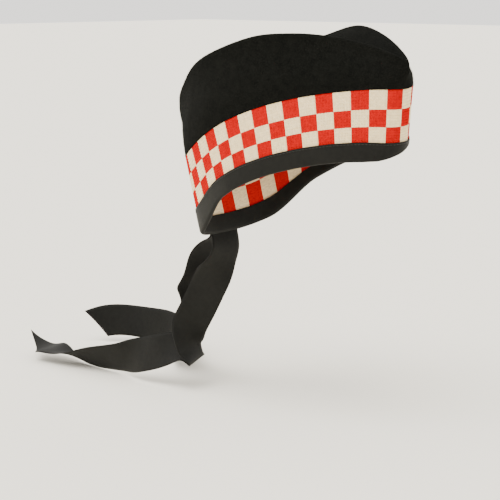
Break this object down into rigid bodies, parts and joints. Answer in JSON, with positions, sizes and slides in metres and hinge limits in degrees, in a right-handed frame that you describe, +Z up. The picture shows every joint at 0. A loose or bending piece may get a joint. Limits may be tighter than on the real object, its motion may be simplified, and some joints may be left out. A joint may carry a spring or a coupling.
{
  "type": "glengarry",
  "caption": "Boat-shaped wool cap with a folded crest, a red and cream diced band, ribbon-bound edge and two ribbon tails, worn tilted back on the head.",
  "frame": {"origin": "centre of the head opening's ring, where the cap sits on the head", "axes": "+Z up along the wearer's head, -Y to the cap's front, +X to the wearer's left; the cap is tipped back and cocked to the right about the origin, as worn"},
  "size_m": [0.213, 0.5369, 0.366],
  "materials": {
    "felt": "black milled wool with a short felted nap",
    "knit": "wool knit in red and cream checks; the plain colour here is the mean of the two",
    "ribbon": "black corded ribbon with a slight sheen"
  },
  "bodies": {
    "root": {"crown": "felt", "diced_band": "knit", "binding": "ribbon", "tail_right": "ribbon", "tail_left": "ribbon"}
  },
  "joints": []
}
